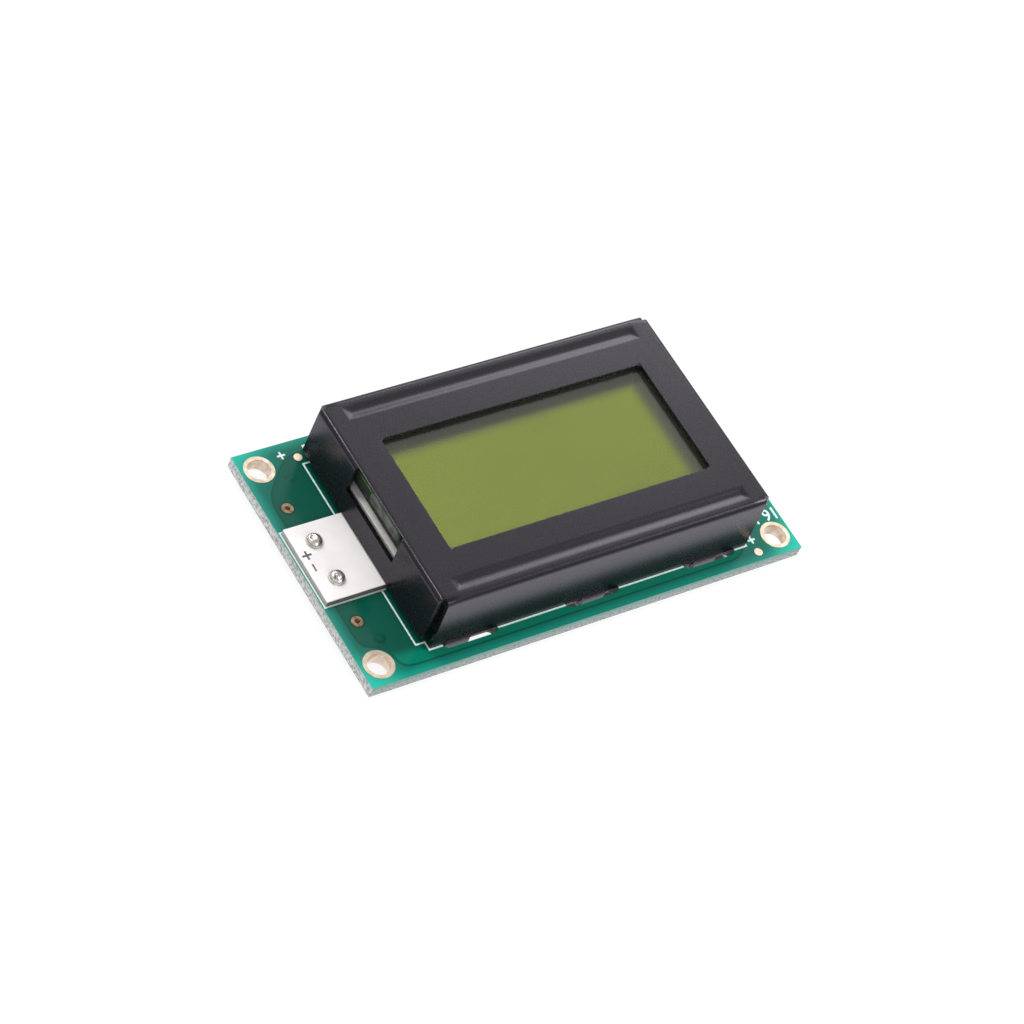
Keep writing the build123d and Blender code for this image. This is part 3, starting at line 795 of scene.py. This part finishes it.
pull(blank, [e for e in blank.edges if at_window(e)], (0, 0, -LIP_DEPTH))
upright = [e for e in blank.edges if abs(e.verts[0].co.z - e.verts[1].co.z) > LIP_DEPTH * 0.9
           and abs(abs(e.verts[0].co.x) - WINDOW.x / 2) < NEAR
           and abs(abs(e.verts[0].co.y) - WINDOW.y / 2) < NEAR]
soften(blank, upright, WINDOW_ROUND, 5)
rim = [e for e in blank.edges if len(e.link_faces) == 2 and e.calc_face_angle(0) > RIM_ANGLE
       and abs(e.verts[0].co.z) < TOUCH and abs(e.verts[1].co.z) < TOUCH]
soften(blank, rim, RIM_SOFT, 3)
print("lip edges:", len(rim), "lip depth, mm:", round(LIP_DEPTH / MM, 2))

# %% Fold the four walls down
def fold(sides_axis, drop):
    """Extrudes the blank's two outer sides on one axis downwards. Returns the bend lines."""
    other = 1 - sides_axis
    limit = (half.x, half.y)[sides_axis]
    clear_of = (half.x - NOTCH_X, half.y - NOTCH_Y)[other]
    border = []
    for edge in blank.edges:
        spot = (edge.verts[0].co + edge.verts[1].co) / 2
        if edge.is_boundary and abs(abs(spot[sides_axis]) - limit) < TOUCH and abs(spot[other]) < clear_of:
            border.append(edge)
    pull(blank, border, (0, 0, -drop))
    return border


bends = fold(0, wall_height - END_GAP) + fold(1, wall_height)
soften(blank, bends, BEND, 7)
print("walls, mm:", round(wall_height / MM, 2), "faces:", len(blank.faces))

# %% Spring the walls outwards a little
for vert in blank.verts:
    lean = WALL_FLARE * max(0.0, -vert.co.z - BEND) / (wall_height - BEND)
    if abs(vert.co.x) > half.x - TOUCH:
        vert.co.x += math.copysign(lean, vert.co.x)
    if abs(vert.co.y) > half.y - TOUCH:
        vert.co.y += math.copysign(lean, vert.co.y)
print("flare at the foot, mm:", round(WALL_FLARE / MM, 2))

# %% Cut the opening for the cell's filling port
OPENING_WIDTH = 10.15 * MM
OPENING_REACH = 0.35 * MM
OPENING_SILL = 4.0 * MM
LEFT_BAND = 1.5 * MM
sill = board_high.z + OPENING_SILL - steel_top


def on_left_side(facet):
    """Whether a face belongs to the left wall or its fold."""
    return facet.calc_center_median().x < -half.x + BEND + LEFT_BAND


cut_across(blank, 1, [-OPENING_WIDTH / 2, OPENING_WIDTH / 2], on_left_side)
cut_across(blank, 2, [sill], on_left_side)
cut_across(blank, 0, [-half.x + OPENING_REACH], on_left_side)
opening = [f for f in blank.faces if f.calc_center_median().x < -half.x + OPENING_REACH
           and f.calc_center_median().z > sill
           and abs(f.calc_center_median().y) < OPENING_WIDTH / 2]
bmesh.ops.delete(blank, geom=opening, context="FACES")
print("opening sill, mm above the board:", round(OPENING_SILL / MM, 2))

# %% Pull the six tabs down and fold them under the board
TAB_WIDTH = 3.0 * MM
TAB_FOOT = 1.9 * MM
TAB_CREASE = 0.4 * MM
TAB_PLACES = [x * MM for x in (-17.525, 0.5, 16.0)]
SHORTEST_CREASE = 0.1 * MM
tab_fall = board_high.z - steel_low.z


def near_tab(x):
    """Whether a place along the wall lies within a tab."""
    return min(abs(x - centre) for centre in TAB_PLACES) < TAB_WIDTH / 2


def on_long_wall(facet):
    """Whether a face belongs to the flared part of the front or back wall."""
    return abs(facet.calc_center_median().y) > half.y + NEAR


tab_lines = [centre + side * TAB_WIDTH / 2 for centre in TAB_PLACES for side in (-1, 1)]
cut_across(blank, 0, tab_lines, on_long_wall)
feet = [e for e in blank.edges if e.is_boundary
        and all(abs(v.co.z + wall_height) < TOUCH for v in e.verts)
        and near_tab((e.verts[0].co.x + e.verts[1].co.x) / 2)]
down = pull(blank, feet, (0, 0, -tab_fall))
creases = [g for g in down if isinstance(g, bmesh.types.BMEdge) and g.is_boundary
           and abs(g.verts[0].co.x - g.verts[1].co.x) > SHORTEST_CREASE]
inward = bmesh.ops.extrude_edge_only(blank, edges=creases)["geom"]
for vert in (g for g in inward if isinstance(g, bmesh.types.BMVert)):
    vert.co.y -= math.copysign(TAB_FOOT, vert.co.y)
soften(blank, creases, TAB_CREASE, 4)
print("tabs:", len(creases), "fall, mm:", round(tab_fall / MM, 2))

# %% Mix the satin black paint
PAINT_BLACK = (0.006, 0.0055, 0.0075)
PAINT_DARK = (0.005, 0.0045, 0.0063)
PAINT_LIGHT = (0.008, 0.0073, 0.0098)
PAINT_ROUGHNESS = (0.25, 0.27, 0.29)
PAINT_SHINE = 0.3
PAINT_TINT = (1.0, 0.95, 1.06, 1)
PEEL_SIZE = 0.25
PEEL_DEPTH = 0.0003
DRIFT_SIZE = 6.0

paint, shader, place = start_finish("black_satin_paint", PAINT_BLACK, PAINT_ROUGHNESS[1])
shader.inputs["Specular IOR Level"].default_value = PAINT_SHINE
shader.inputs["Specular Tint"].default_value = PAINT_TINT
tree = paint.node_tree
peel = grain(tree, place, PEEL_SIZE)
slow = grain(tree, place, DRIFT_SIZE)
tree.links.new(mix_colour(tree, slow, PAINT_DARK, PAINT_LIGHT), shader.inputs["Base Color"])
tree.links.new(mix_number(tree, peel, PAINT_ROUGHNESS[0], PAINT_ROUGHNESS[2]), shader.inputs["Roughness"])
relief(tree, shader, peel, PEEL_DEPTH)
print("paint roughness about", PAINT_ROUGHNESS[1])

# %% Turn the blank's faces the right way and set it in its place
MERGE = 0.0005 * MM

bmesh.ops.remove_doubles(blank, verts=blank.verts, dist=MERGE)
bmesh.ops.recalc_face_normals(blank, faces=blank.faces)
if sum(f.normal.z * f.calc_area() for f in blank.faces) < 0:
    bmesh.ops.reverse_faces(blank, faces=blank.faces)
for facet in blank.faces:
    facet.smooth = True
bmesh.ops.translate(blank, verts=blank.verts, vec=(middle.x, middle.y, steel_top))
soft_bezel = make_piece("folded_bezel", blank, paint, "black_paint", "bezel")
print("bezel set at, mm:", round(middle.x / MM, 2), round(middle.y / MM, 2))

# %% Give the sheet its thickness and soften its cut edges
CUT_SOFT = 0.06 * MM
CUT_ANGLE = math.radians(50)

thickness = soft_bezel.modifiers.new("sheet", "SOLIDIFY")
thickness.thickness = SHEET
thickness.offset = -1.0
thickness.use_even_offset = True
soft_edges = soft_bezel.modifiers.new("cut_edges", "BEVEL")
soft_edges.width = CUT_SOFT
soft_edges.segments = 2
soft_edges.limit_method = "ANGLE"
soft_edges.angle_limit = CUT_ANGLE
even_faces = soft_bezel.modifiers.new("even_faces", "WEIGHTED_NORMAL")
even_faces.mode = "FACE_AREA"
even_faces.weight = 80
print("sheet, mm:", round(SHEET / MM, 2))

# %% [markdown]
# ## The display cell
#
# Under the window lie a polariser, two glasses with the liquid crystal between them, and
# a second polariser that sends the light back yellow-green. The eye sees that colour below
# a clear, glossy surface, which is why the window's edge leaves a soft shade on it. Real
# refracting glass would render slowly and grainy. Here the front layers pass light straight
# on and mirror it at the top face only, and the coloured layer is the rear glass's top
# face, about where refraction makes the real one appear. The soft shade along the window's
# right and back edges, and a dark band under its lip, are also painted into the layer's
# colour: a painted shade and a painted shadow, on top of the real shadow.

# %% Find the display's levels
film_low, film_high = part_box("front_polariser")
glass_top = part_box("rear_glass")[1].z
print("film top, mm:", round(film_high.z / MM, 2), "coloured layer, mm:", round(glass_top / MM, 2))

# %% Make the front film: clear, with gloss on its top face
FILM_TINT = (0.93, 0.94, 0.88)
FILM_MILK = (0.85, 0.87, 0.64)
FILM_VEIL = 0.018
FILM_IOR = 1.5
FILM_HAZE = (0.06, 0.10)
HAZE_SIZE = 2.0

film = start_empty("front_film")
tree = film.node_tree
place = add_node(tree, "ShaderNodeTexCoord").outputs["Object"]
top_face = on_face(tree, split(tree, place)[2], film_high.z)
mirror_share = add_node(tree, "ShaderNodeFresnel", IOR=FILM_IOR).outputs[0]
mirror_share = calculate(tree, "MULTIPLY", mirror_share, top_face)
clear = add_node(tree, "ShaderNodeBsdfTransparent", Color=(*FILM_TINT, 1))
milk = add_node(tree, "ShaderNodeBsdfDiffuse", Color=(*FILM_MILK, 1))
clear = mix_shader(tree, calculate(tree, "MULTIPLY", top_face, FILM_VEIL), clear, milk)
haze = mix_number(tree, grain(tree, place, HAZE_SIZE), *FILM_HAZE)
gloss = add_node(tree, "ShaderNodeBsdfAnisotropic", Color=WHITE, Roughness=haze)
surface = mix_shader(tree, mirror_share, clear, gloss)
add_node(tree, "ShaderNodeOutputMaterial", Surface=surface.outputs[0])
dress(film, "front_polariser")
print("film tint:", FILM_TINT)

# %% Make the front glass: clear under the film, dark green at its cut ends
CUT_GLASS = (0.020, 0.045, 0.030)
CUT_GLASS_LIGHT = (0.05, 0.09, 0.065)
CUT_GLASS_CLOUDS = 0.8
CUT_GLASS_ROUGHNESS = 0.18
CLEAR_GLASS = (0.97, 0.98, 0.96)
FILM_EDGE = 0.02 * MM


def cut_glass(tree, place):
    """The cloudy dark green of a glass's cut ends."""
    return mix_colour(tree, grain(tree, place, CUT_GLASS_CLOUDS), CUT_GLASS, CUT_GLASS_LIGHT)


glass = start_empty("front_glass")
tree = glass.node_tree
place = add_node(tree, "ShaderNodeTexCoord").outputs["Object"]
film_middle = (film_low + film_high) / 2
film_half = (film_high - film_low) / 2
away = calculate_vector(tree, "ABSOLUTE", calculate_vector(tree, "SUBTRACT", place, film_middle))
away_x, away_y, _ = split(tree, away)
past_x = step_up(tree, away_x, film_half.x - FILM_EDGE, film_half.x)
past_y = step_up(tree, away_y, film_half.y - FILM_EDGE, film_half.y)
bare = calculate(tree, "MAXIMUM", past_x, past_y)
clear = add_node(tree, "ShaderNodeBsdfTransparent", Color=(*CLEAR_GLASS, 1))
cut_end = cut_glass(tree, place)
solid = add_node(tree, "ShaderNodeBsdfPrincipled", Base_Color=cut_end, Roughness=CUT_GLASS_ROUGHNESS)
surface = mix_shader(tree, bare, clear, solid)
add_node(tree, "ShaderNodeOutputMaterial", Surface=surface.outputs[0])
dress(glass, "front_glass")
print("clear glass over, mm:", round(2 * film_half.x / MM, 1), "by", round(2 * film_half.y / MM, 1))

# %% Colour the liquid crystal, with the window's shade painted on it
CRYSTAL_GREEN = (0.53, 0.61, 0.042)
CRYSTAL_OLIVE = (0.485, 0.55, 0.042)
CRYSTAL_SHADED = (0.17, 0.175, 0.118)
CRYSTAL_LIP_SHADOW = (0.012, 0.012, 0.007)
CRYSTAL_ROUGHNESS = (0.2, 0.6, 0.7)
CRYSTAL_CLOUDS = 12.0
CLOUD_RANGE = (0.35, 0.65)
SHADE_REACH = 2.4 * MM
LIP_LEAD = 1.1 * MM
LIP_SOFT = 0.45 * MM

crystal, shader, place = start_finish("liquid_crystal", CRYSTAL_GREEN, CRYSTAL_ROUGHNESS[1])
tree = crystal.node_tree
spot_x, spot_y, spot_z = split(tree, place)
drift = step_up(tree, grain(tree, place, CRYSTAL_CLOUDS), *CLOUD_RANGE)
layer = mix_colour(tree, drift, CRYSTAL_GREEN, CRYSTAL_OLIVE)
from_right = calculate(tree, "SUBTRACT", middle.x + WINDOW.x / 2, spot_x)
from_back = calculate(tree, "SUBTRACT", middle.y + WINDOW.y / 2, spot_y)
# A painted shade greys the layer along the window's right and back edges, on top of the real shadow that the
# lamps cast.
shade = step_up(tree, calculate(tree, "MINIMUM", from_right, from_back), 0.0, SHADE_REACH)
layer = mix_colour(tree, shade, CRYSTAL_SHADED, layer)
# A painted shadow, near black, darkens the layer under the window's lip.
from_lip = calculate(tree, "MINIMUM", calculate(tree, "ADD", from_right, LIP_LEAD), from_back)
clear_of_lip_shadow = step_up(tree, from_lip, -LIP_SOFT, 0.0)
layer = mix_colour(tree, clear_of_lip_shadow, CRYSTAL_LIP_SHADOW, layer)
print("crystal colours:", CRYSTAL_GREEN, CRYSTAL_OLIVE)

# %% Make the rear glass: the crystal on top, dark at its cut ends
top_face = on_face(tree, spot_z, glass_top)
tree.links.new(mix_colour(tree, top_face, cut_glass(tree, place), layer), shader.inputs["Base Color"])
rough = mix_number(tree, top_face, CRYSTAL_ROUGHNESS[0], CRYSTAL_ROUGHNESS[2])
tree.links.new(rough, shader.inputs["Roughness"])
shader.inputs["Specular IOR Level"].default_value = 0.0
dress(crystal, "rear_glass", "rear_polariser")
print("crystal on:", "rear_glass, rear_polariser")

# %% Make the cell's seals
seal = mottled_finish("cured_seal", (0.03, 0.036, 0.028), (0.11, 0.125, 0.10), 0.6, 0.45,
                      depth_mm=0.05, contrast=0.2)
dress(seal, "cell_seal", "fill_port_seal")
print("seal on:", "cell_seal, fill_port_seal")

# %% [markdown]
# ## The backlight
#
# The backlight is a white moulded frame on a thin white board. Its tab sticks out on the
# left with two domed solder joints. Only the tab and a strip of the frame show, so they
# get the care: a barely mottled white mask, over a core that is dark at its long sides.
# Its sawn end is painted paler than the long sides: a painted light.

# %% Whiten the backlight's board
TAB_WHITE = (0.91, 0.88, 0.872)
TAB_CLOUD = (0.85, 0.82, 0.815)
TAB_CLOUD_SIZE = 1.5
TAB_CLOUD_RANGE = (0.3, 0.7)
TAB_CORE = (0.085, 0.070, 0.062)
TAB_CORE_LIGHT = (0.16, 0.135, 0.12)
TAB_CORE_GRAIN = 0.2
TAB_END_LIT = (0.36, 0.33, 0.33)
TAB_MASK = (0.16 * MM, 0.10 * MM)
TAB_ROUGHNESS = (0.5, 0.45, 0.4)
TAB_RELIEF = (0.6, 0.003)

tab_low, tab_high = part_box("backlight_board")
white_mask, shader, place = start_finish("white_mask", TAB_WHITE, TAB_ROUGHNESS[1])
tree = white_mask.node_tree
spot_x, spot_y, spot_z = split(tree, place)
on_top = step_up(tree, spot_z, tab_high.z - TAB_MASK[0], tab_high.z - TAB_MASK[1])
cloud = step_up(tree, grain(tree, place, TAB_CLOUD_SIZE), *TAB_CLOUD_RANGE)
white = mix_colour(tree, cloud, TAB_CLOUD, TAB_WHITE)
core = mix_colour(tree, grain(tree, place, TAB_CORE_GRAIN), TAB_CORE, TAB_CORE_LIGHT)
# The sawn end gets a paler colour than the long sides: a painted light on the face that is lit more.
core = mix_colour(tree, off_end(tree, spot_x, tab_low.x), TAB_END_LIT, core)
tree.links.new(mix_colour(tree, on_top, core, white), shader.inputs["Base Color"])
tree.links.new(mix_number(tree, cloud, TAB_ROUGHNESS[0], TAB_ROUGHNESS[2]), shader.inputs["Roughness"])
relief(tree, shader, grain(tree, place, TAB_RELIEF[0]), TAB_RELIEF[1])
dress(white_mask, "backlight_board")
print("tab top, mm:", round(tab_high.z / MM, 2))

# %% Finish the frame and what lies inside it
moulded = mottled_finish("moulded_white", (0.66, 0.65, 0.61), (0.84, 0.83, 0.79), 1.6, 0.45, depth_mm=0.01)
dress(moulded, "backlight_frame")
milky = mottled_finish("milky_diffuser", (0.60, 0.66, 0.48), (0.70, 0.75, 0.56), 2.0, 0.5)
dress(milky, "backlight_diffuser")
lights = mottled_finish("light_chips", (0.50, 0.55, 0.15), (0.70, 0.75, 0.25), 0.4, 0.3)
dress(lights, "backlight_leds")
rubber = mottled_finish("striped_rubber", (0.012, 0.012, 0.012), (0.03, 0.03, 0.03), 0.2, 0.7)
# The gasket's black also stands for the shade on the frame's ledge under the glass's edge: partly a painted
# shade.
dress(rubber, "front_contact_strip", "back_contact_strip", "glass_gasket")
print("white on the frame, rubber on the strips and the gasket")

# %% Print the polarity signs on the tab
POLARITY_X = -27.8
POLARITY_THICKNESS = 0.02
POLARITY_WEIGHT = 0.01

grey_ink = mottled_finish("grey_ink", (0.055, 0.055, 0.05), (0.14, 0.14, 0.13), 0.15, 0.6, depth_mm=0.004)
for name, sign, y, tall in (("polarity_plus", "+", 1.15, 1.15), ("polarity_minus", "−", -0.55, 0.2)):
    stamp(name, sign, (POLARITY_X, y), tab_high.z, tall, -90, grey_ink,
          thickness_mm=POLARITY_THICKNESS, weight=POLARITY_WEIGHT)
print("polarity signs printed")

# %% [markdown]
# ## Solder
#
# Each joint on the tab is a ball of solder that has drawn itself into a dome, with
# a shallow swirl where it froze last. A plain sphere looks like a bead. Spinning a profile
# and then pulling a shallow dimple into the crown gives the small dark crescent that the
# photograph shows.

# %% Mix the solder
bright_solder = mottled_finish("bright_solder", (0.40, 0.38, 0.34), (0.74, 0.72, 0.68), 0.35, 0.24,
                               metallic=0.9, depth_mm=0.03)
print("solder ready:", bright_solder.name)

# %% Spin a solder dome and dent its crown
DOME_ROWS = 16
DOME_STEPS = 40
DOME_BELLY = 0.8
DOME_SHOULDER = 1.05
DENT_PLACE = 0.3
DENT_DEPTH = 0.30
DENT_WIDTH = 0.30
RIPPLE_HEIGHT = 0.035
RIPPLE_TURNS = 16
RIPPLE_WIDTH = 0.6


def solder_dome(name, node, dent_angle):
    """A dome of the CAD joint's size, with a rolled foot and a dent beside its crown."""
    low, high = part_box(node)
    radius = (high.x - low.x) / 2
    tall = high.z - low.z
    ring = bmesh.new()
    previous = None
    for row in range(DOME_ROWS + 1):
        angle = row / DOME_ROWS * math.pi / 2
        point = ring.verts.new((radius * math.cos(angle) ** DOME_BELLY, 0,
                                tall * math.sin(angle) ** DOME_SHOULDER))
        if previous:
            ring.edges.new((previous, point))
        previous = point
    bmesh.ops.spin(ring, geom=ring.verts[:] + ring.edges[:], cent=(0, 0, 0), axis=(0, 0, 1),
                   angle=2 * math.pi, steps=DOME_STEPS, use_merge=True)
    bmesh.ops.remove_doubles(ring, verts=ring.verts, dist=TOUCH)
    bmesh.ops.contextual_create(ring, geom=[e for e in ring.edges if e.is_boundary])
    bmesh.ops.recalc_face_normals(ring, faces=ring.faces)
    dent = Vector((math.cos(dent_angle), math.sin(dent_angle), 0)) * radius * DENT_PLACE
    for vert in ring.verts:
        gap = (Vector((vert.co.x, vert.co.y, 0)) - dent).length / radius
        if vert.co.z > 0:
            vert.co.z -= tall * DENT_DEPTH * math.exp(-(gap / DENT_WIDTH) ** 2)
            ripple = math.cos(gap * RIPPLE_TURNS) * math.exp(-(gap / RIPPLE_WIDTH) ** 2)
            vert.co.z += tall * RIPPLE_HEIGHT * ripple
    for facet in ring.faces:
        facet.smooth = len(facet.verts) < 5
    bmesh.ops.translate(ring, verts=ring.verts, vec=((low.x + high.x) / 2, (low.y + high.y) / 2, low.z))
    make_piece(name, ring, bright_solder, "solder", node)


for name, node, angle in (("anode_dome", "anode_top_joint", 2.4), ("cathode_dome", "cathode_top_joint", 3.9)):
    solder_dome(name, node, angle)

# %% Tin the pins and the joints under the board
tin = mottled_finish("tin_plate", (0.50, 0.50, 0.48), (0.72, 0.72, 0.70), 0.3, 0.3,
                     metallic=0.95, depth_mm=0.01)
dress(tin, "anode_pin", "cathode_pin", "resistor_caps", "capacitor_caps")
dress(bright_solder, "anode_bottom_joint", "cathode_bottom_joint")
print("tin and solder under the board")

# %% [markdown]
# ## The parts under the board
#
# The photograph doesn't show the back. Such modules carry the controller under a blob of
# black resin, with a few chip parts beside it. Each gets a finish of two close colours,
# since a cast or fired part is never quite even, and nothing here has to match a picture.

# %% Finish the resin and the chips
resin = mottled_finish("black_resin", (0.010, 0.010, 0.010), (0.022, 0.022, 0.022), 1.5, 0.32, depth_mm=0.03)
dress(resin, "controller_blob")
chip_black = mottled_finish("chip_black", (0.010, 0.010, 0.012), (0.022, 0.022, 0.026), 0.3, 0.3,
                            depth_mm=0.005)
dress(chip_black, "chip_resistors")
chip_tan = mottled_finish("chip_tan", (0.28, 0.18, 0.10), (0.40, 0.28, 0.17), 0.4, 0.5, depth_mm=0.005)
dress(chip_tan, "chip_capacitor")
print("resin and chips finished")
